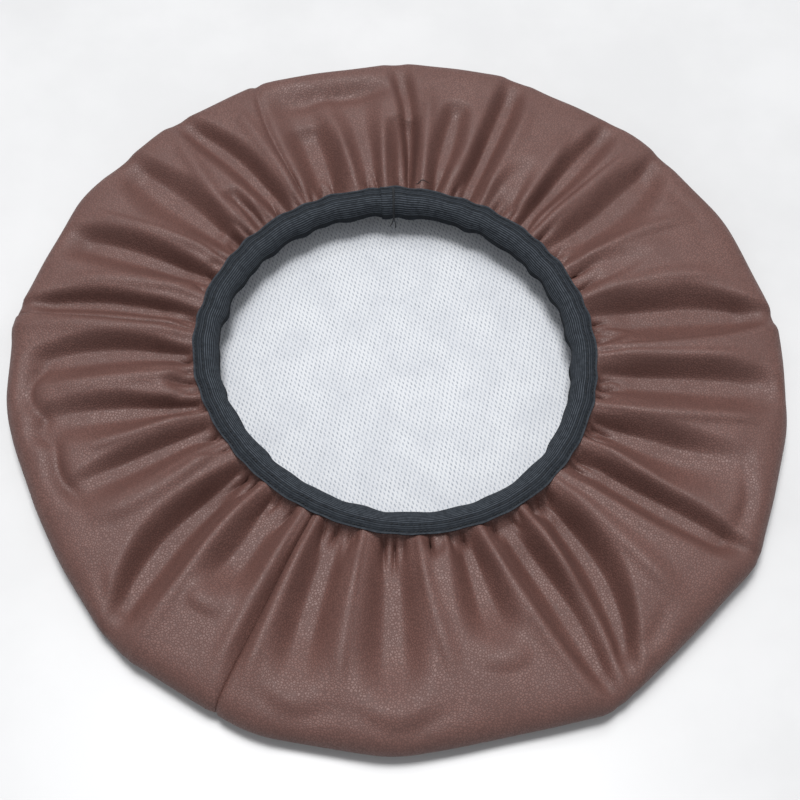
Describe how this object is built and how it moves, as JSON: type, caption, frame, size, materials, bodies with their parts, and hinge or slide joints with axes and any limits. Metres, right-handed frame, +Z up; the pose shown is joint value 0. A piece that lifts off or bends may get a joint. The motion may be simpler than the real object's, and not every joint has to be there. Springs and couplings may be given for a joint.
{
  "type": "spare tire cover",
  "caption": "Soft round spare tire cover with a flat face, a gathered leatherette side and an elastic mouth that draws it in behind the tire",
  "frame": {"origin": "under the middle of the face panel, on the surface that the cover lies on", "axes": "+Z up through the mouth, -Y towards the viewer, +X to the viewer's right"},
  "size_m": [0.6414, 0.6446, 0.0429],
  "materials": {
    "leatherette": "brown pebble-grained leatherette with a soft satin sheen",
    "knit_backing": "white warp-knit backing cloth",
    "elastic": "black woven elastic with fine ribs along it",
    "brown_thread": "brown sewing thread",
    "black_thread": "black sewing thread"
  },
  "bodies": {
    "cloth_shell": {"face_panel": "leatherette", "face_backing": "knit_backing", "gusset_panel_long": "leatherette", "gusset_panel_short": "leatherette", "gusset_backing_long": "knit_backing", "gusset_backing_short": "knit_backing", "rim_seam_thread": "brown_thread", "left_gusset_seam_thread": "brown_thread", "front_gusset_seam_thread": "brown_thread"},
    "mouth_ring": {"elastic_band": "elastic", "elastic_stitching_outer": "black_thread", "elastic_stitching_inner": "black_thread", "elastic_bartack": "black_thread"}
  },
  "joints": [
    {"name": "mouth_lift", "type": "slide", "parent": "cloth_shell", "child": "mouth_ring", "axis": [0, 0, 1], "range_m": [0, 0.06], "deforming": ["gusset_panel_long", "gusset_panel_short", "gusset_backing_long", "gusset_backing_short", "left_gusset_seam_thread", "front_gusset_seam_thread"]}
  ]
}
